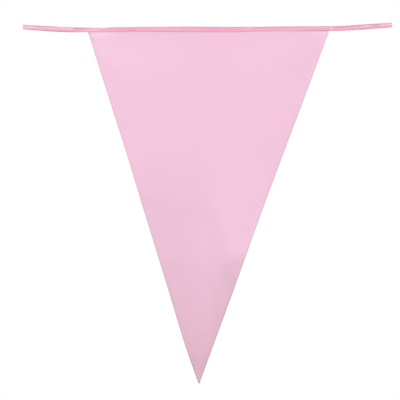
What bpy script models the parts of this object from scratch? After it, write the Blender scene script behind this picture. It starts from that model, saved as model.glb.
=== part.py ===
"""A hung length of bunting: one long pennant of thin film under a folded header tape.

Metres, +Z up, the front faces -Y. The origin is on the tape's top edge, above the pennant's middle.
"""

from collections import namedtuple

import bmesh
import bpy
import numpy as np

# Both sheets
SHEET = 0.0010  # thickness
CLEARANCE = 0.0003  # between the pennant and each flap of the tape

# The pennant's outline
PENNANT_WIDTH = 0.304  # along the top edge hidden in the tape, which leaves 0.300 showing below it
PENNANT_DROP = 0.4486  # from the origin down to the tip
TIP_SHIFT = -0.0117  # the tip hangs this far to the left of the middle
TUCK = 0.0017  # from the tape's top edge down to the pennant's top edge
LATTICE_CUTS = 44  # points between two corners of the pennant's triangular lattice
NEVER_ZERO = 1.0e-9  # the least width to divide by, for the lattice's last point at the tip

# The two cut sides curve a little. left and right are how far each lies to the right of a straight line
# from its corner to the tip, and down is 0 at the corner and 1 at the tip.
SideStation = namedtuple("SideStation", "down left right")
SIDE_LINE = [
    SideStation(0.00, 0.0008, 0.0002),
    SideStation(0.22, 0.0010, -0.0003),
    SideStation(0.36, 0.0012, -0.0010),
    SideStation(0.49, 0.0005, -0.0014),
    SideStation(0.63, 0.0000, -0.0011),
    SideStation(0.76, -0.0006, -0.0005),
    SideStation(0.88, -0.0014, -0.0005),
    SideStation(1.00, 0.0000, 0.0000),
]

# How the pennant hangs in depth. Its lower part leans back, as film that was folded in its packet does.
LEAN_FROM_Z = -0.155  # the lean begins here
LEAN_BACK = 0.029  # how far it carries the tip back
LEAN_GROWTH = 2.0  # the power of the height with which it grows
BELLY = 0.0008  # how far the middle bellies forward
SIDE_ROLL = 0.0004  # how far the two sides roll back from the middle
FREE_FROM_Z = -0.008  # the tape holds the film flat down to here
FREE_FULL_Z = -0.050  # and all its folds have their full height from here

# The right side stays upright for longer, up to a slanting ridge, and then bends back at a crease.
RIDGE_TOP_X = -0.006
RIDGE_TOP_Z = -0.180
RIDGE_FOOT_X = 0.0185
RIDGE_FOOT_Z = -0.280
RIDGE_HALF_WIDTH = 0.016  # the film turns from leaning to upright within this distance of the ridge
HELD_SHARE = 1.05  # the share of the lean that is missing there: above 1 it even hangs a little forward
CREASE_X = 0.0430  # where the crease meets the right cut edge
CREASE_Z = -0.2828
CREASE_SLANT = 0.42  # from there it falls this much for each unit to the left
CREASE_RUN = 0.100  # below the crease the missing share fades by the number e within this drop
CREASE_RADIUS = 0.006  # how softly the crease turns

# Smaller folds, as seen from the front. Each is a soft ridge between two points. left and right are how
# far it reaches to the two sides, fade is how far it dies out past its ends, and the two lifts are how far
# it stands forward at its two ends, or back where they are negative. It rises fastest at its top. slant is
# how much higher its ends lie for each unit to the right, where they aren't square to its line.
Fold = namedtuple("Fold", "top_x top_z foot_x foot_z slant left right fade top_lift foot_lift")
FOLDS = {
    "middle_ridge": Fold(-0.004, -0.247, 0.006, -0.400, 0.0, 0.015, 0.016, 0.055, 0.0, 0.0031),
    "left_swell": Fold(-0.100, -0.070, -0.058, -0.190, 0.0, 0.034, 0.050, 0.050, 0.0006, 0.0006),
    "right_panel": Fold(0.078, -0.090, 0.043, -0.281, 0.68, 0.040, 0.035, 0.019, 0.0, 0.0007),
    "tip_curl": Fold(-0.012, -0.449, -0.012, -0.455, 0.0, 0.050, 0.050, 0.030, -0.0017, -0.0017),
}

# The header tape
TAPE_LEFT = -0.231
TAPE_RIGHT = 0.229
TAPE_STATIONS = 60  # steps along the tape
CLOSED_SLOT = 0.0004  # between the flaps where no pennant is held
CLOSING_FROM = 0.0015  # the flaps start to close this far past the pennant's corner
CLOSING_RUN = 0.0120  # and are closed this much further on
FLAP_STEPS = 2  # steps down each flap
FOLD_STEPS = 6  # steps round the fold
WAVE_DEPTH = 0.0007  # the tape waves this far forward and back, and the pennant follows it
WAVE_LENGTH = 0.160
WAVE_REACH = 0.110  # how far down the pennant a wave dies out
WAVE_END = 0.170  # the waves die out along the tape from here
STRAIGHT_END = 0.200  # and the tape is straight in depth from here to its ends

# The tape's line, read from left to right. top is the height of its fold above the origin, and front
# and back are how far the two flaps reach down from there: the strip is folded a little unevenly.
Station = namedtuple("Station", "x top front back")
TAPE_LINE = [
    Station(-0.231, 0.0026, 0.0054, 0.0056),
    Station(-0.210, 0.0014, 0.0058, 0.0064),
    Station(-0.190, 0.0004, 0.0060, 0.0069),
    Station(-0.170, -0.0006, 0.0061, 0.0064),
    Station(-0.148, -0.0011, 0.0057, 0.0056),
    Station(-0.110, -0.0005, 0.0058, 0.0057),
    Station(-0.060, -0.0001, 0.0061, 0.0060),
    Station(-0.010, 0.0001, 0.0067, 0.0064),
    Station(0.034, -0.0001, 0.0066, 0.0061),
    Station(0.054, 0.0000, 0.0060, 0.0058),
    Station(0.110, 0.0005, 0.0060, 0.0059),
    Station(0.142, 0.0006, 0.0058, 0.0058),
    Station(0.160, 0.0008, 0.0062, 0.0061),
    Station(0.190, 0.0027, 0.0063, 0.0065),
    Station(0.210, 0.0040, 0.0060, 0.0062),
    Station(0.229, 0.0051, 0.0055, 0.0057),
]

# Colours (linear) and finish
PENNANT_COLOUR = (0.90, 0.58, 0.75, 1.0)
TAPE_COLOUR = (0.93, 0.38, 0.57, 1.0)
PENNANT_ROUGHNESS = 0.45
TAPE_ROUGHNESS = 0.30


def ramp(value, low, high):
    """A smooth step from 0 at low to 1 at high, which may lie below low."""
    share = np.clip((value - low) / (high - low), 0.0, 1.0)
    return share * share * (3.0 - 2.0 * share)


def curve_through(stations, place, column):
    """One column of a table of stations at a place in its first column: a cubic curve through them."""
    at = np.array([station[0] for station in stations])
    values = np.array([getattr(station, column) for station in stations])
    slopes = np.gradient(values, at)
    before = np.clip(np.searchsorted(at, place) - 1, 0, len(at) - 2)
    run = at[before + 1] - at[before]
    share = (place - at[before]) / run
    rest = 1.0 - share
    return (
        values[before] * rest * rest * (1.0 + 2.0 * share)
        + values[before + 1] * share * share * (1.0 + 2.0 * rest)
        + slopes[before] * run * share * rest * rest
        - slopes[before + 1] * run * rest * share * share
    )


def along_tape(x, column):
    """One column of TAPE_LINE at x."""
    return curve_through(TAPE_LINE, x, column)


def tape_depth(x):
    """How far back the middle of the tape lies at x: shallow waves, straight near both ends."""
    waves = WAVE_DEPTH * np.sin(2.0 * np.pi * x / WAVE_LENGTH)
    return waves * (1.0 - ramp(np.abs(x), WAVE_END, STRAIGHT_END))


def line_distances(x, z, top_x, top_z, foot_x, foot_z, slant=0.0):
    """How far a point lies to the right of a line that runs down, the share of the line that lies above
    it, and how far it is past the line's ends, which rise by the slant to the right."""
    length = np.hypot(foot_x - top_x, foot_z - top_z)
    along_x, along_z = (foot_x - top_x) / length, (foot_z - top_z) / length
    right = (z - top_z) * along_x - (x - top_x) * along_z
    along = (x - top_x) * along_x + (z - top_z) * along_z + slant * right
    return right, np.clip(along / length, 0.0, 1.0), np.maximum(0.0, np.maximum(-along, along - length))


def lean(x, z):
    """How far back the lower part lies: it grows with a power of the depth below LEAN_FROM_Z. Right of the
    ridge the film is held upright instead, down to the crease, and comes back to the lean below it."""
    share = np.clip((LEAN_FROM_Z - z) / (LEAN_FROM_Z + PENNANT_DROP), 0.0, 1.0)
    right, _, _ = line_distances(x, z, RIDGE_TOP_X, RIDGE_TOP_Z, RIDGE_FOOT_X, RIDGE_FOOT_Z)
    below = CREASE_Z + CREASE_SLANT * (x - CREASE_X) - z
    softened = (below + np.sqrt(below * below + CREASE_RADIUS * CREASE_RADIUS)) / 2.0
    held = HELD_SHARE * ramp(right, -RIDGE_HALF_WIDTH, RIDGE_HALF_WIDTH) * np.exp(-softened / CREASE_RUN)
    return LEAN_BACK * share**LEAN_GROWTH * (1.0 - held)


def fold_lift(fold, x, z):
    """How far a small fold stands forward: a bell across its line, dying out past both ends."""
    ends = (fold.top_x, fold.top_z, fold.foot_x, fold.foot_z)
    right, share, past = line_distances(x, z, *ends, fold.slant)
    reach = np.where(right > 0.0, fold.right, fold.left)
    lift = fold.top_lift + (fold.foot_lift - fold.top_lift) * share * (2.0 - share)
    return lift * np.exp(-((right / reach) ** 2) - (past / fold.fade) ** 2)


def pennant_surface(across, down):
    """Points of the pennant's middle surface: across runs from -1 to 1, and down from 0 at its top edge
    to 1 at its tip."""
    top_x = across * PENNANT_WIDTH / 2.0
    top_z = along_tape(top_x, "top") - TUCK
    left_shift = curve_through(SIDE_LINE, down, "left") * (1.0 - across) / 2.0
    right_shift = curve_through(SIDE_LINE, down, "right") * (1.0 + across) / 2.0
    x = top_x * (1.0 - down) + TIP_SHIFT * down + left_shift + right_shift
    z = top_z * (1.0 - down) - PENNANT_DROP * down
    waves = tape_depth(top_x) * np.exp(-((down * PENNANT_DROP / WAVE_REACH) ** 2))
    arch = 4.0 * down * (1.0 - down)
    hang = SIDE_ROLL * across**2 * arch - BELLY * arch + lean(x, z)
    lifts = sum(fold_lift(fold, x, z) for fold in FOLDS.values())
    free = ramp(z, FREE_FROM_Z, FREE_FULL_Z)
    return np.column_stack([x, waves + (hang - lifts) * free, z])


def tape_surface(along, around):
    """Points of the folded strip's middle surface: along runs from 0 to 1, and around from 0 at the front
    flap's edge, over the fold, to 1 at the back flap's edge."""
    x = TAPE_LEFT + along * (TAPE_RIGHT - TAPE_LEFT)
    top = along_tape(x, "top")
    past_corner = np.abs(x) - PENNANT_WIDTH / 2.0 - CLOSING_FROM
    held_slot = SHEET + 2.0 * CLEARANCE
    slot = held_slot + (CLOSED_SLOT - held_slot) * ramp(past_corner, 0.0, CLOSING_RUN)
    radius = (slot + SHEET) / 2.0
    spring = top - SHEET / 2.0 - radius  # the height at which the fold's round part starts

    steps = 2 * FLAP_STEPS + FOLD_STEPS
    first, last = FLAP_STEPS / steps, (FLAP_STEPS + FOLD_STEPS) / steps
    turn = np.pi * np.clip((around - first) / (last - first), 0.0, 1.0)
    down_front = np.clip(1.0 - around / first, 0.0, 1.0) * (spring - top + along_tape(x, "front"))
    down_back = np.clip((around - last) / (1.0 - last), 0.0, 1.0) * (spring - top + along_tape(x, "back"))
    y = tape_depth(x) - radius * np.cos(turn)
    z = spring + radius * np.sin(turn) - down_front - down_back
    return np.column_stack([x, y, z])


def film_material(name, colour, roughness):
    """A Principled material of one colour."""
    material = bpy.data.materials.new(name)
    material.use_nodes = True
    shader = material.node_tree.nodes["Principled BSDF"]
    shader.inputs["Base Color"].default_value = colour
    shader.inputs["Roughness"].default_value = roughness
    shader.inputs["Metallic"].default_value = 0.0
    return material


def sheet_object(name, bm, surface, material, collection, parent):
    """Moves the points of a flat lattice to the surface and gives it the sheet's thickness."""
    mesh = bpy.data.meshes.new(name)
    bm.to_mesh(mesh)
    bm.free()
    flat = np.empty(len(mesh.vertices) * 3)
    mesh.vertices.foreach_get("co", flat)
    flat = flat.reshape(-1, 3)
    mesh.vertices.foreach_set("co", surface(flat[:, 0], flat[:, 1]).ravel())
    mesh.materials.append(material)
    mesh.shade_smooth()
    sheet = bpy.data.objects.new(name, mesh)
    collection.objects.link(sheet)
    sheet.parent = parent
    wall = sheet.modifiers.new("thickness", "SOLIDIFY")
    wall.thickness = SHEET
    wall.offset = 0.0
    wall.use_even_offset = True
    return sheet


def build_pennant(collection, parent):
    """The triangular panel, from a triangle of even small triangles."""
    bm = bmesh.new()
    corners = [bm.verts.new(place) for place in ((-1.0, 0.0, 0.0), (0.0, 1.0, 0.0), (1.0, 0.0, 0.0))]
    bm.faces.new(corners)
    bmesh.ops.subdivide_edges(bm, edges=bm.edges[:], cuts=LATTICE_CUTS, use_grid_fill=True)

    def surface(x, y):
        width_here = np.maximum(1.0 - y, NEVER_ZERO)
        return pennant_surface(np.clip(x / width_here, -1.0, 1.0), y)

    material = film_material("pennant_film", PENNANT_COLOUR, PENNANT_ROUGHNESS)
    return sheet_object("pennant", bm, surface, material, collection, parent)


def build_header_tape(collection, parent):
    """The strip folded over the pennant's top edge, from a flat grid."""
    bm = bmesh.new()
    around_steps = 2 * FLAP_STEPS + FOLD_STEPS
    bmesh.ops.create_grid(bm, x_segments=TAPE_STATIONS, y_segments=around_steps, size=0.5)

    def surface(x, y):
        return tape_surface(x + 0.5, y + 0.5)

    material = film_material("tape_film", TAPE_COLOUR, TAPE_ROUGHNESS)
    return sheet_object("header_tape", bm, surface, material, collection, parent)


def main():
    for old in list(bpy.data.objects):
        bpy.data.objects.remove(old)
    collection = bpy.data.collections.new("bunting")
    bpy.context.scene.collection.children.link(collection)
    hanging_line = bpy.data.objects.new("hanging_line", None)
    collection.objects.link(hanging_line)
    build_pennant(collection, hanging_line)
    build_header_tape(collection, hanging_line)


main()
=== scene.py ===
# %% [markdown]
# # Film bunting: one pennant on its header tape
# The real thing is two pieces of thin pink polythene film. One is a long triangle. The other is a narrow
# strip that is folded over the triangle's top edge and runs on past both corners. Both are surfaces with
# almost no thickness, so everything you see comes from three things: how the film hangs, how many layers
# lie on each other, and how the light glides over it. After the camera and the lights, this lesson goes
# through them in that order.

from collections import namedtuple

import bpy
import numpy as np
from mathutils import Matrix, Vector


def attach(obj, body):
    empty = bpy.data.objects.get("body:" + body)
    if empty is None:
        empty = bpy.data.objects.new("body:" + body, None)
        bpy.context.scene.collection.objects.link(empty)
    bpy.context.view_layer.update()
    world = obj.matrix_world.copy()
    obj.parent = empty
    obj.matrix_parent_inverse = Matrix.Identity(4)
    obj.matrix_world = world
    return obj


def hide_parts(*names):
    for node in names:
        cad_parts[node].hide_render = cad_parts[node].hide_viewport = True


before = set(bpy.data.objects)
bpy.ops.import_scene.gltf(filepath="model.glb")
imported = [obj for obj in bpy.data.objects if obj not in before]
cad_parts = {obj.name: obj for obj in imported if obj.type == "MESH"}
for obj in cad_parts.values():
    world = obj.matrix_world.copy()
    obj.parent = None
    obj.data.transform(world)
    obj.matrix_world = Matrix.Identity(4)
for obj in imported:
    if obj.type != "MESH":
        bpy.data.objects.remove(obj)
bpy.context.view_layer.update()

# %% [markdown]
# ## The camera
# The photograph looks straight at the pennant, so the camera stands level with the middle of the picture
# and looks along +Y. The scale comes from one measured width: 240.8 of the photograph's 400 pixels are
# 0.300 m of pennant. A long lens from far away keeps the flat thing nearly free of perspective. You could
# also use an orthographic camera, but a real one has a little perspective, and the leaning tip shows it.

# %% Camera
PHOTO_PIXELS = 400
WIDTH_BELOW_TAPE = 0.300  # metres
WIDTH_BELOW_TAPE_PIXELS = 240.8
ORIGIN_PIXEL_X = 208.3  # where the frame's origin lies in the photograph
ORIGIN_PIXEL_Y = 26.66
CAMERA_DISTANCE = 3.0
SENSOR_MM = 36.0

metres_per_pixel = WIDTH_BELOW_TAPE / WIDTH_BELOW_TAPE_PIXELS
view_x = (PHOTO_PIXELS / 2 - ORIGIN_PIXEL_X) * metres_per_pixel
view_z = (ORIGIN_PIXEL_Y - PHOTO_PIXELS / 2) * metres_per_pixel
view_width = PHOTO_PIXELS * metres_per_pixel

camera = bpy.data.objects.new("camera", bpy.data.cameras.new("camera"))
bpy.context.scene.collection.objects.link(camera)
camera.location = (view_x, -CAMERA_DISTANCE, view_z)
camera.rotation_euler = (np.pi / 2, 0.0, 0.0)
camera.data.sensor_width = SENSOR_MM
camera.data.lens = SENSOR_MM * CAMERA_DISTANCE / view_width
bpy.context.scene.camera = camera
print(f"The view is {view_width:.4f} m wide through a {camera.data.lens:.0f} mm lens")

# %% [markdown]
# ## Light, background and floor
# The photograph is a bright cut-out picture: the upper half of the pennant is evenly lit, and the lower
# half gets darker only where the film leans back. One large softbox high up in front, a little to the left,
# does that: film that leans back turns away from it. It stands far off, because light from nearby would
# already fade between the tape and the tip. A small one fills in from the left, and a level one behind
# lights the back, so that the film looks right when you walk round it.

# %% Softboxes
Softbox = namedtuple("Softbox", "name azimuth elevation distance size watts")  # angles in degrees
SOFTBOXES = [
    Softbox("key", -11.0, 50.0, 24.0, 10.0, 9430.0),
    Softbox("fill", -60.0, 4.0, 4.0, 2.0, 8.0),
    Softbox("behind", 168.0, 0.0, 5.0, 2.5, 210.0),
]
LIT_CENTRE = Vector((0.0, 0.0, -0.20))


def add_softbox(box):
    """A square area light on a sphere round LIT_CENTRE. Azimuth 0 is in front and 90 to the right."""
    azimuth, elevation = np.radians(box.azimuth), np.radians(box.elevation)
    away = Vector(
        (
            np.sin(azimuth) * np.cos(elevation),
            -np.cos(azimuth) * np.cos(elevation),
            np.sin(elevation),
        )
    )
    light = bpy.data.objects.new(box.name, bpy.data.lights.new(box.name, "AREA"))
    light.data.size = box.size
    light.data.energy = box.watts
    light.location = LIT_CENTRE + away * box.distance
    light.rotation_euler = (-away).to_track_quat("-Z", "Y").to_euler()
    light.visible_camera = False
    bpy.context.scene.collection.objects.link(light)


for softbox in SOFTBOXES:
    add_softbox(softbox)
print("Softboxes:", ", ".join(box.name for box in SOFTBOXES))

# %% [markdown]
# A white surround fills the shadows. It is dimmer as a light than it looks to the camera, or it would wash
# out every fold; the Light Path node tells the two apart. The Standard view transform keeps white at white,
# which a filmic one would turn grey.

# %% White surround
SURROUND_SEEN = 1.0  # how bright the camera sees it
SURROUND_LIGHT = 0.14  # how much light it gives

world = bpy.data.worlds.new("white_surround")
bpy.context.scene.world = world
world.use_nodes = True
sky_nodes, sky_links = world.node_tree.nodes, world.node_tree.links
seen = sky_nodes["Background"]
seen.inputs["Color"].default_value = (1.0, 1.0, 1.0, 1.0)
seen.inputs["Strength"].default_value = SURROUND_SEEN
lighting = sky_nodes.new("ShaderNodeBackground")
lighting.inputs["Color"].default_value = (1.0, 1.0, 1.0, 1.0)
lighting.inputs["Strength"].default_value = SURROUND_LIGHT
choice = sky_nodes.new("ShaderNodeMixShader")
sky_links.new(sky_nodes.new("ShaderNodeLightPath").outputs["Is Camera Ray"], choice.inputs["Fac"])
sky_links.new(lighting.outputs[0], choice.inputs[1])
sky_links.new(seen.outputs[0], choice.inputs[2])
sky_links.new(choice.outputs[0], sky_nodes["World Output"].inputs["Surface"])
bpy.context.scene.view_settings.view_transform = "Standard"
print("The surround is seen at", SURROUND_SEEN, "and lights at", SURROUND_LIGHT)

# %% [markdown]
# The floor lies well below the tip, so it stays out of the photograph's view and only sends soft light up.
# Its rim fades to nothing, so that no edge of it cuts through a view from the side.

# %% Floor
FLOOR_Z = -2.4
FLOOR_HALF = 2.2
FLOOR_FADES_FROM = 0.7
FLOOR_COLOUR = (0.80, 0.79, 0.79, 1.0)
FLOOR_ROUGHNESS = 0.7

floor_material = bpy.data.materials.new("pale_floor")
floor_material.use_nodes = True
floor_nodes, floor_links = floor_material.node_tree.nodes, floor_material.node_tree.links
floor_shader = floor_nodes["Principled BSDF"]
floor_shader.inputs["Base Color"].default_value = FLOOR_COLOUR
floor_shader.inputs["Roughness"].default_value = FLOOR_ROUGHNESS
from_middle = floor_nodes.new("ShaderNodeVectorMath")
from_middle.operation = "LENGTH"
fade = floor_nodes.new("ShaderNodeMapRange")
fade.interpolation_type = "SMOOTHSTEP"
fade.inputs["From Min"].default_value = FLOOR_FADES_FROM
fade.inputs["From Max"].default_value = FLOOR_HALF
fade.inputs["To Min"].default_value = 1.0
fade.inputs["To Max"].default_value = 0.0
floor_place = floor_nodes.new("ShaderNodeTexCoord").outputs["Object"]
floor_links.new(floor_place, from_middle.inputs[0])
floor_links.new(from_middle.outputs["Value"], fade.inputs["Value"])
floor_links.new(fade.outputs["Result"], floor_shader.inputs["Alpha"])

bpy.ops.mesh.primitive_plane_add(size=2.0 * FLOOR_HALF, location=(0.0, 0.0, FLOOR_Z))
floor = bpy.context.object
floor.name = "floor"
floor.data.materials.append(floor_material)
print(f"The floor lies {-FLOOR_Z:.2f} m below the tape")

# %% [markdown]
# ## Helpers for soft shapes
# Film never turns a sharp corner by itself, so every change is eased with a ramp, and chance unevenness
# is smooth noise: random heights on evenly spaced knots, with smooth curves between them. The seeds are
# fixed, so the same film comes out every time.

# %% Ramp and smooth noise
NOISE_KNOTS = 512  # the noise repeats after this many knots


def ramp(value, low, high):
    """0 at low and 1 at high, and between them share squared times (3 minus 2 shares)."""
    share = np.clip((value - low) / (high - low), 0.0, 1.0)
    return share * share * (3.0 - 2.0 * share)


def noise_along(position, pitch, seed):
    """Smooth noise from -1 to 1: random heights one pitch apart, each eased into the next by a ramp."""
    heights = np.random.default_rng(seed).uniform(-1.0, 1.0, NOISE_KNOTS)
    knot = np.floor(position / pitch).astype(int)
    share = ramp(position / pitch - knot, 0.0, 1.0)
    return heights[knot % NOISE_KNOTS] * (1.0 - share) + heights[(knot + 1) % NOISE_KNOTS] * share


def noise_over(x, z, pitch, seed):
    """Smooth noise over a plane: random heights on a square grid, eased along x and then along z."""
    heights = np.random.default_rng(seed).uniform(-1.0, 1.0, (NOISE_KNOTS, NOISE_KNOTS))
    column, row = np.floor(x / pitch).astype(int), np.floor(z / pitch).astype(int)
    share_x, share_z = ramp(x / pitch - column, 0.0, 1.0), ramp(z / pitch - row, 0.0, 1.0)
    left, right = column % NOISE_KNOTS, (column + 1) % NOISE_KNOTS
    low, high = row % NOISE_KNOTS, (row + 1) % NOISE_KNOTS
    below = heights[low, left] * (1.0 - share_x) + heights[low, right] * share_x
    above = heights[high, left] * (1.0 - share_x) + heights[high, right] * share_x
    return below * (1.0 - share_z) + above * share_z


print("Noise at 3 places:", noise_along(np.array([0.0, 0.5, 1.0]), 1.0, 7).round(3))

# %% [markdown]
# ## The tape's line
# The tape isn't straight. It sags a little at the pennant's left corner and climbs towards both ends, most
# on the right. The strip is also folded a little off its middle, so in places the back flap peeks out below
# the front one. A spline object could carry this, but a short table of stations is easier to read against
# the photograph. A cubic curve through the stations keeps the line smooth.

# %% Tape line
Station = namedtuple("Station", "x top front back")  # the top edge's height, and each flap's drop below it
TAPE_LINE = [
    Station(-0.231, 0.0026, 0.0054, 0.0056),
    Station(-0.210, 0.0014, 0.0058, 0.0064),
    Station(-0.190, 0.0004, 0.0060, 0.0069),
    Station(-0.170, -0.0006, 0.0061, 0.0064),
    Station(-0.148, -0.0011, 0.0057, 0.0056),
    Station(-0.110, -0.0005, 0.0058, 0.0057),
    Station(-0.060, -0.0001, 0.0061, 0.0060),
    Station(-0.010, 0.0001, 0.0067, 0.0064),
    Station(0.034, -0.0001, 0.0066, 0.0061),
    Station(0.054, 0.0000, 0.0060, 0.0058),
    Station(0.110, 0.0005, 0.0060, 0.0059),
    Station(0.142, 0.0006, 0.0058, 0.0058),
    Station(0.160, 0.0008, 0.0062, 0.0061),
    Station(0.190, 0.0027, 0.0063, 0.0065),
    Station(0.210, 0.0040, 0.0060, 0.0062),
    Station(0.229, 0.0051, 0.0055, 0.0057),
]
TAPE_LEFT, TAPE_RIGHT = TAPE_LINE[0].x, TAPE_LINE[-1].x
WAVE_DEPTH = 0.0007  # the tape waves this far forward and back, and the pennant follows it
WAVE_LENGTH = 0.160
WAVE_END = 0.170  # the waves die out along the tape from here
STRAIGHT_END = 0.200  # and the tape is straight in depth from here to its ends


def curve_through(stations, place, column):
    """One column of a table at a place in its first column, as a cubic Hermite curve: the values and the
    slopes at the two nearest stations, each weighted by its cubic of the share of the way between them."""
    at = np.array([station[0] for station in stations])
    values = np.array([getattr(station, column) for station in stations])
    slopes = np.gradient(values, at)
    before = np.clip(np.searchsorted(at, place) - 1, 0, len(at) - 2)
    run = at[before + 1] - at[before]
    share = (place - at[before]) / run
    rest = 1.0 - share
    return (
        values[before] * rest * rest * (1.0 + 2.0 * share)
        + values[before + 1] * share * share * (1.0 + 2.0 * rest)
        + slopes[before] * run * share * rest * rest
        - slopes[before + 1] * run * rest * share * share
    )


def along_tape(x, column):
    """One column of TAPE_LINE at x."""
    return curve_through(TAPE_LINE, x, column)


def tape_depth(x):
    """How far back the tape's middle lies: a sine wave that dies out before both ends."""
    waves = WAVE_DEPTH * np.sin(2.0 * np.pi * x / WAVE_LENGTH)
    return waves * (1.0 - ramp(np.abs(x), WAVE_END, STRAIGHT_END))


tape_height = max(station.front for station in TAPE_LINE)
print(f"The tape is {TAPE_RIGHT - TAPE_LEFT:.3f} m long and up to {tape_height * 1000:.1f} mm high")

# %% [markdown]
# ## The pennant's outline
# Seen flat, the pennant is a long triangle whose tip hangs a little left of the middle. Its two cut sides
# aren't quite straight: film curls a little along a cut, and the long knife wandered. You could draw the
# outline point by point, but then the surface between the sides would still be missing. Here every point of
# the sheet has two parameters, how far across and how far down, and the outline follows from both.

# %% Pennant outline
PENNANT_WIDTH = 0.304  # along the top edge hidden in the tape
PENNANT_DROP = 0.4486  # from the origin down to the tip
TIP_SHIFT = -0.0117  # the tip hangs this far to the left of the middle
TUCK = 0.0017  # from the tape's top edge down to the pennant's top edge

SideStation = namedtuple("SideStation", "down left right")  # how far each side lies right of a straight one
SIDE_LINE = [
    SideStation(0.00, 0.0008, 0.0002),
    SideStation(0.22, 0.0010, -0.0003),
    SideStation(0.36, 0.0012, -0.0010),
    SideStation(0.49, 0.0005, -0.0014),
    SideStation(0.63, 0.0000, -0.0011),
    SideStation(0.76, -0.0006, -0.0005),
    SideStation(0.88, -0.0014, -0.0005),
    SideStation(1.00, 0.0000, 0.0000),
]


def pennant_outline(across, down):
    """x and z in the picture plane: the top edge shrinks evenly to the tip, and each side is moved by its
    column of SIDE_LINE. across runs from -1 to 1, and down from 0 at the top edge to 1 at the tip."""
    top_x = across * PENNANT_WIDTH / 2.0
    top_z = along_tape(top_x, "top") - TUCK
    left_shift = curve_through(SIDE_LINE, down, "left") * (1.0 - across) / 2.0
    right_shift = curve_through(SIDE_LINE, down, "right") * (1.0 + across) / 2.0
    x = top_x * (1.0 - down) + TIP_SHIFT * down + left_shift + right_shift
    z = top_z * (1.0 - down) - PENNANT_DROP * down
    return x, z


print(f"The cut edge is {np.hypot(PENNANT_WIDTH / 2 + TIP_SHIFT, PENNANT_DROP):.3f} m long on the left")

# %% [markdown]
# ## How the pennant hangs
# The film was folded in its packet, so it doesn't hang as a flat plane. From a third of the way down it
# leans back, and the tip leans most. The right side stays upright for longer, up to a slanting ridge, and
# then bends back at a crease, which falls towards the left. That is why the photograph shows a light strip
# on the right which ends at a dark edge. A cloth simulation wouldn't find this shape, because it comes from
# old folds and not from gravity. It is a sum of a few named parts instead, the same ones as in the solid, so
# each can be checked by eye.

# %% Lean, ridge and crease
LEAN_FROM_Z = -0.155  # the lean begins here
LEAN_BACK = 0.029  # how far it carries the tip back
LEAN_GROWTH = 2.0  # the power by which it grows on the way down
RIDGE_TOP_X, RIDGE_TOP_Z = -0.006, -0.180
RIDGE_FOOT_X, RIDGE_FOOT_Z = 0.0185, -0.280
RIDGE_HALF_WIDTH = 0.016
HELD_SHARE = 1.05  # right of the ridge, a little more than all of the lean is missing
CREASE_X, CREASE_Z = 0.0430, -0.2828  # where the crease meets the right cut edge
CREASE_SLANT = 0.42  # from there it falls this much for each unit to the left
CREASE_RUN = 0.100  # below the crease the lean comes back over about this drop
CREASE_RADIUS = 0.0035  # tighter than in the solid, because the finer mesh can show it


def line_distances(x, z, top_x, top_z, foot_x, foot_z, slant=0.0):
    """How far a point lies right of a line that runs down, the share of the line that lies above it, and
    how far it is past the ends: the cross product and the dot product with the line's direction. A slant
    tilts the ends, by adding slant times the distance to the right to the dot product."""
    length = np.hypot(foot_x - top_x, foot_z - top_z)
    along_x, along_z = (foot_x - top_x) / length, (foot_z - top_z) / length
    right = (z - top_z) * along_x - (x - top_x) * along_z
    along = (x - top_x) * along_x + (z - top_z) * along_z + slant * right
    return right, np.clip(along / length, 0.0, 1.0), np.maximum(0.0, np.maximum(-along, along - length))


def lean(x, z):
    """How far back the lower part lies: a power of the depth below LEAN_FROM_Z, taken away right of the
    ridge, and given back below the crease as an exponential decay. The depth below the crease is softened
    into a hyperbola, so that the bend is round."""
    share = np.clip((LEAN_FROM_Z - z) / (LEAN_FROM_Z + PENNANT_DROP), 0.0, 1.0)
    right, _, _ = line_distances(x, z, RIDGE_TOP_X, RIDGE_TOP_Z, RIDGE_FOOT_X, RIDGE_FOOT_Z)
    below = CREASE_Z + CREASE_SLANT * (x - CREASE_X) - z
    softened = (below + np.sqrt(below * below + CREASE_RADIUS * CREASE_RADIUS)) / 2.0
    held = HELD_SHARE * ramp(right, -RIDGE_HALF_WIDTH, RIDGE_HALF_WIDTH) * np.exp(-softened / CREASE_RUN)
    return LEAN_BACK * share**LEAN_GROWTH * (1.0 - held)


print(f"The tip leans back {LEAN_BACK * 1000:.0f} mm")

# %% [markdown]
# ## Soft folds
# On top of the lean come a few soft folds, which the photograph shows as lighter and darker patches. The
# tallest, a ridge down the middle, stands 3 mm forward, and most are under one millimetre. They still do
# much for the look: film is so smooth that a slope of one degree shows. Sculpting them by hand would work
# too, but a table can be compared with the photograph line by line. Slant tilts a fold's two ends, which
# lets the raised panel on the right stop along the crease.

# %% Fold table
Fold = namedtuple("Fold", "top_x top_z foot_x foot_z slant left right fade top_lift foot_lift")
FOLDS = {  # left and right are a fold's reach on each side, and fade is its reach past the ends
    "middle_ridge": Fold(-0.004, -0.247, 0.006, -0.400, 0.0, 0.015, 0.016, 0.055, 0.0, 0.0031),
    "left_swell": Fold(-0.100, -0.070, -0.058, -0.190, 0.0, 0.034, 0.050, 0.050, 0.0006, 0.0006),
    "right_panel": Fold(0.078, -0.090, 0.043, -0.281, 0.68, 0.040, 0.035, 0.019, 0.0, 0.0007),
    "tip_curl": Fold(-0.012, -0.449, -0.012, -0.455, 0.0, 0.050, 0.050, 0.030, -0.0017, -0.0017),
    "left_crease": Fold(-0.084, -0.206, -0.010, -0.216, 0.0, 0.014, 0.012, 0.020, 0.00014, 0.00014),
    "low_crease": Fold(-0.052, -0.291, -0.018, -0.296, 0.0, 0.010, 0.009, 0.012, 0.00016, 0.00016),
    "corner_bulge": Fold(-0.132, -0.022, -0.118, -0.050, 0.0, 0.010, 0.014, 0.012, 0.0003, 0.0003),
}


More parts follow.
